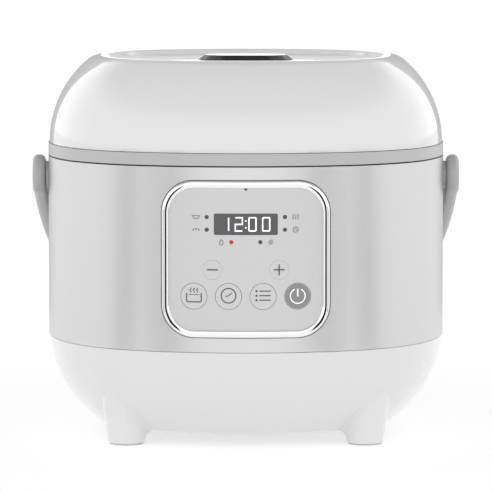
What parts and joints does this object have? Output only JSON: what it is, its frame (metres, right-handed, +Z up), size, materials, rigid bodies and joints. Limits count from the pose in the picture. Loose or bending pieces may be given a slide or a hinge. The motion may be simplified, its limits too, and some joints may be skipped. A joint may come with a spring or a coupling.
{
  "type": "rice cooker",
  "caption": "Small rice cooker with a domed hinged lid, satin metal band, rounded lower shell on feet, swinging bail handle and a front control panel.",
  "frame": {"origin": "centre of the whole object's box, on the surface the feet stand on", "axes": "+Z up, the control panel faces -Y, +X to the right seen from the front"},
  "size_m": [0.2484, 0.2452, 0.2188],
  "materials": {
    "shell_white": "gloss white moulded plastic",
    "trim_grey": "satin light grey plastic",
    "band_metal": "satin silver-grey sheet",
    "handle_grey": "satin mid grey plastic",
    "panel_grey": "pale grey panel",
    "bezel_chrome": "bright plated ring",
    "display_dark": "smoked window",
    "vent_black": "gloss black",
    "inner_white": "inner plastic",
    "rubber_dark": "soft pale grey foot pads",
    "gasket_silicone": "translucent silicone",
    "steel_parts": "bare steel",
    "aluminium_cast": "cast aluminium",
    "pot_coating": "dark non-stick coating",
    "board_green": "circuit board",
    "lens_clear": "small lamp lens",
    "lens_red": "lit red lens",
    "black_plastic": "black moulded plastic",
    "dew_clear": "frosted plastic"
  },
  "bodies": {
    "housing": {"band_sleeve": "band_metal", "base_screws": "steel_parts", "board_screws": "steel_parts", "chrome_bezel": "bezel_chrome", "control_board": "board_green", "control_panel": "panel_grey", "display_module": "black_plastic", "display_window": "display_dark", "foot_pads": "rubber_dark", "handle_bracket_left": "handle_grey", "handle_bracket_right": "handle_grey", "heater_screws": "steel_parts", "heater_spacers": "steel_parts", "heating_plate": "aluminium_cast", "hinge_pin": "steel_parts", "hinge_spring": "steel_parts", "indicator_lens_red": "lens_red", "indicator_lenses": "lens_clear", "inlet_pins": "steel_parts", "inner_casing": "steel_parts", "lower_shell": "shell_white", "panel_carrier": "black_plastic", "pivot_screw_left": "steel_parts", "pivot_screw_right": "steel_parts", "power_board": "board_green", "power_inlet": "black_plastic", "sensor_holder": "steel_parts", "sensor_spring": "steel_parts", "tact_switches": "black_plastic", "thermal_fuse": "black_plastic", "upper_frame": "inner_white"},
    "pot": {"inner_pot": "pot_coating"},
    "sensor": {"sensor_cap": "aluminium_cast"},
    "handle": {"handle": "handle_grey"},
    "steam_vent": {"steam_vent_cap": "vent_black"},
    "release_button": {"lid_release_button": "shell_white"},
    "latch": {"latch_hook": "inner_white"},
    "dew_cup": {"dew_collector": "dew_clear"},
    "lid": {"lid_cover": "shell_white", "lid_ring": "trim_grey", "lid_liner": "inner_white", "lid_screws": "steel_parts", "inner_lid_gasket": "gasket_silicone", "inner_lid_plate": "aluminium_cast"},
    "cook_key": {"cook_key": "panel_grey"},
    "timer_key": {"timer_key": "panel_grey"},
    "menu_key": {"menu_key": "panel_grey"},
    "power_key": {"power_key": "panel_grey"},
    "minus_key": {"minus_key": "panel_grey"},
    "plus_key": {"plus_key": "panel_grey"}
  },
  "joints": [
    {"name": "lid_hinge", "type": "hinge", "parent": "housing", "child": "lid", "pos_m": [0, 0.11567, 0.16], "axis": [-1, 0, 0], "range_deg": [0, 85]},
    {"name": "handle_swing", "type": "hinge", "parent": "housing", "child": "handle", "pos_m": [0, -0.00583, 0.149], "axis": [1, 0, 0], "range_deg": [0, 118]},
    {"name": "button_press", "type": "slide", "parent": "lid", "child": "release_button", "axis": [0, 0, -1], "range_m": [0, 0.0024], "stiffness_N_per_m": 400, "springref_m": -0.002},
    {"name": "latch_slide", "type": "slide", "parent": "lid", "child": "latch", "axis": [0, 1, 0], "range_m": [0, 0.0024]},
    {"name": "pot_turn", "type": "hinge", "parent": "housing", "child": "pot", "pos_m": [0, -0.00583, 0.051], "axis": [0, 0, 1], "continuous": true},
    {"name": "sensor_press", "type": "slide", "parent": "housing", "child": "sensor", "axis": [0, 0, -1], "range_m": [0, 0.002], "stiffness_N_per_m": 600, "springref_m": -0.003, "deforming": ["sensor_spring"]},
    {"name": "vent_lift", "type": "slide", "parent": "lid", "child": "steam_vent", "axis": [0, 0, 1], "range_m": [0, 0.02]},
    {"name": "dew_cup_pull", "type": "slide", "parent": "housing", "child": "dew_cup", "axis": [0, 1, 0], "range_m": [0, 0.025]},
    {"name": "cook_key_press", "type": "slide", "parent": "housing", "child": "cook_key", "axis": [0, 1, 0], "range_m": [0, 0.0007], "stiffness_N_per_m": 400, "springref_m": -0.001},
    {"name": "timer_key_press", "type": "slide", "parent": "housing", "child": "timer_key", "axis": [0, 1, 0], "range_m": [0, 0.0007], "stiffness_N_per_m": 400, "springref_m": -0.001},
    {"name": "menu_key_press", "type": "slide", "parent": "housing", "child": "menu_key", "axis": [0, 1, 0], "range_m": [0, 0.0007], "stiffness_N_per_m": 400, "springref_m": -0.001},
    {"name": "power_key_press", "type": "slide", "parent": "housing", "child": "power_key", "axis": [0, 1, 0], "range_m": [0, 0.0007], "stiffness_N_per_m": 400, "springref_m": -0.001},
    {"name": "minus_key_press", "type": "slide", "parent": "housing", "child": "minus_key", "axis": [0, 1, 0], "range_m": [0, 0.0007], "stiffness_N_per_m": 400, "springref_m": -0.001},
    {"name": "plus_key_press", "type": "slide", "parent": "housing", "child": "plus_key", "axis": [0, 1, 0], "range_m": [0, 0.0007], "stiffness_N_per_m": 400, "springref_m": -0.001}
  ],
  "couplings": [
    {"joint": "latch_slide", "follows": "button_press", "ratio": 1}
  ]
}
